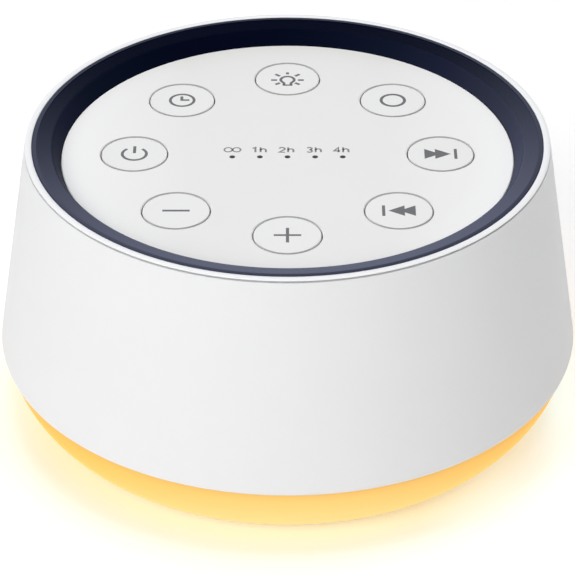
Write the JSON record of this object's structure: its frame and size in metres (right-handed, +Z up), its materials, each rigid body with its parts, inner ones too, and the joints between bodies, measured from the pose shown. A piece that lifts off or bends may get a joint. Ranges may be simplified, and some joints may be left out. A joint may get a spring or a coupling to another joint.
{
  "type": "white noise machine",
  "caption": "Round table-top sound machine: tapered white shell, dark inner ring, recessed panel of round push keys, glowing frosted base.",
  "frame": {"origin": "on the table plane under the middle of the machine", "axes": "+Z up; the front, with the plus key nearest, faces -Y; the power socket faces +Y"},
  "size_m": [0.1198, 0.1196, 0.0603],
  "materials": {
    "shell_white": "fine satin moulded white",
    "rim_white": "satin moulded white",
    "accent_navy": "satin dark blue",
    "panel_white": "fine matte white",
    "key_white": "fine matte white with a thin grey printed mark",
    "diffuser": "frosted translucent, lit warm from inside",
    "base_white": "fine matte white",
    "foot_rubber": "matte rubber",
    "reflector_white": "glossy white",
    "board_white": "white solder mask",
    "lamp_lens": "clear yellow lens",
    "board_green": "green solder mask",
    "switch_black": "matte black",
    "plunger_grey": "matte grey",
    "smoked_guide": "smoked clear plastic",
    "screw_steel": "zinc plated",
    "basket_steel": "pressed sheet, zinc plated",
    "cone_paper": "black pressed paper",
    "surround_rubber": "matte rubber",
    "spider_cloth": "treated corrugated cloth",
    "coil_copper": "lacquered copper wire",
    "magnet_ferrite": "unglazed ferrite",
    "terminal_paper": "laminate strip",
    "chip_black": "matte moulded",
    "can_aluminium": "bright drawn",
    "socket_cream": "matte nylon",
    "socket_steel": "nickel plated",
    "ribbon_grey": "flat cable",
    "lead_red": "insulated wire",
    "lead_yellow": "insulated wire"
  },
  "bodies": {
    "housing": {"outer_shell": "shell_white", "top_rim": "rim_white", "accent_ring": "accent_navy", "key_panel": "panel_white", "key_board": "board_green", "switch_bodies": "switch_black", "light_guide": "smoked_guide", "light_shroud": "switch_black", "indicator_lamps": "lamp_lens", "panel_screws": "screw_steel", "key_board_screws": "screw_steel", "lit_ring": "diffuser", "reflector_ring": "reflector_white", "lamp_board": "board_white", "night_lamps": "lamp_lens", "base_plate": "base_white", "rubber_feet": "foot_rubber", "base_screws": "screw_steel", "speaker_basket": "basket_steel", "speaker_surround": "surround_rubber", "speaker_spider": "spider_cloth", "speaker_magnet": "magnet_ferrite", "front_plate": "basket_steel", "speaker_yoke": "basket_steel", "speaker_gasket": "surround_rubber", "speaker_screws": "screw_steel", "speaker_terminals": "terminal_paper", "main_board": "board_green", "main_board_chips": "chip_black", "capacitors": "can_aluminium", "lead_sockets": "socket_cream", "main_board_screws": "screw_steel", "socket_shell": "socket_steel", "socket_tongue": "chip_black", "ribbon_sockets": "socket_cream", "ribbon_cable": "ribbon_grey", "speaker_leads": "lead_red", "lamp_leads": "lead_yellow"},
    "power_key": {"power_button": "key_white", "power_plunger": "plunger_grey"},
    "timer_key": {"timer_button": "key_white", "timer_plunger": "plunger_grey"},
    "light_key": {"light_button": "key_white", "light_plunger": "plunger_grey"},
    "mode_key": {"mode_button": "key_white", "mode_plunger": "plunger_grey"},
    "next_key": {"next_button": "key_white", "next_plunger": "plunger_grey"},
    "previous_key": {"previous_button": "key_white", "previous_plunger": "plunger_grey"},
    "volume_up_key": {"volume_up_button": "key_white", "volume_up_plunger": "plunger_grey"},
    "volume_down_key": {"volume_down_button": "key_white", "volume_down_plunger": "plunger_grey"},
    "diaphragm": {"speaker_cone": "cone_paper", "dust_cap": "cone_paper", "voice_coil": "coil_copper"}
  },
  "joints": [
    {"name": "power_press", "type": "slide", "parent": "housing", "child": "power_key", "axis": [0, 0, -1], "range_m": [0, 0.0005], "stiffness_N_per_m": 1500, "springref_m": -0.0005},
    {"name": "timer_press", "type": "slide", "parent": "housing", "child": "timer_key", "axis": [0, 0, -1], "range_m": [0, 0.0005], "stiffness_N_per_m": 1500, "springref_m": -0.0005},
    {"name": "light_press", "type": "slide", "parent": "housing", "child": "light_key", "axis": [0, 0, -1], "range_m": [0, 0.0005], "stiffness_N_per_m": 1500, "springref_m": -0.0005},
    {"name": "mode_press", "type": "slide", "parent": "housing", "child": "mode_key", "axis": [0, 0, -1], "range_m": [0, 0.0005], "stiffness_N_per_m": 1500, "springref_m": -0.0005},
    {"name": "next_press", "type": "slide", "parent": "housing", "child": "next_key", "axis": [0, 0, -1], "range_m": [0, 0.0005], "stiffness_N_per_m": 1500, "springref_m": -0.0005},
    {"name": "previous_press", "type": "slide", "parent": "housing", "child": "previous_key", "axis": [0, 0, -1], "range_m": [0, 0.0005], "stiffness_N_per_m": 1500, "springref_m": -0.0005},
    {"name": "volume_up_press", "type": "slide", "parent": "housing", "child": "volume_up_key", "axis": [0, 0, -1], "range_m": [0, 0.0005], "stiffness_N_per_m": 1500, "springref_m": -0.0005},
    {"name": "volume_down_press", "type": "slide", "parent": "housing", "child": "volume_down_key", "axis": [0, 0, -1], "range_m": [0, 0.0005], "stiffness_N_per_m": 1500, "springref_m": -0.0005},
    {"name": "diaphragm_travel", "type": "slide", "parent": "housing", "child": "diaphragm", "axis": [0, 0, 1], "range_m": [-0.001, 0.001], "stiffness_N_per_m": 1500, "deforming": ["speaker_surround", "speaker_spider"]}
  ]
}
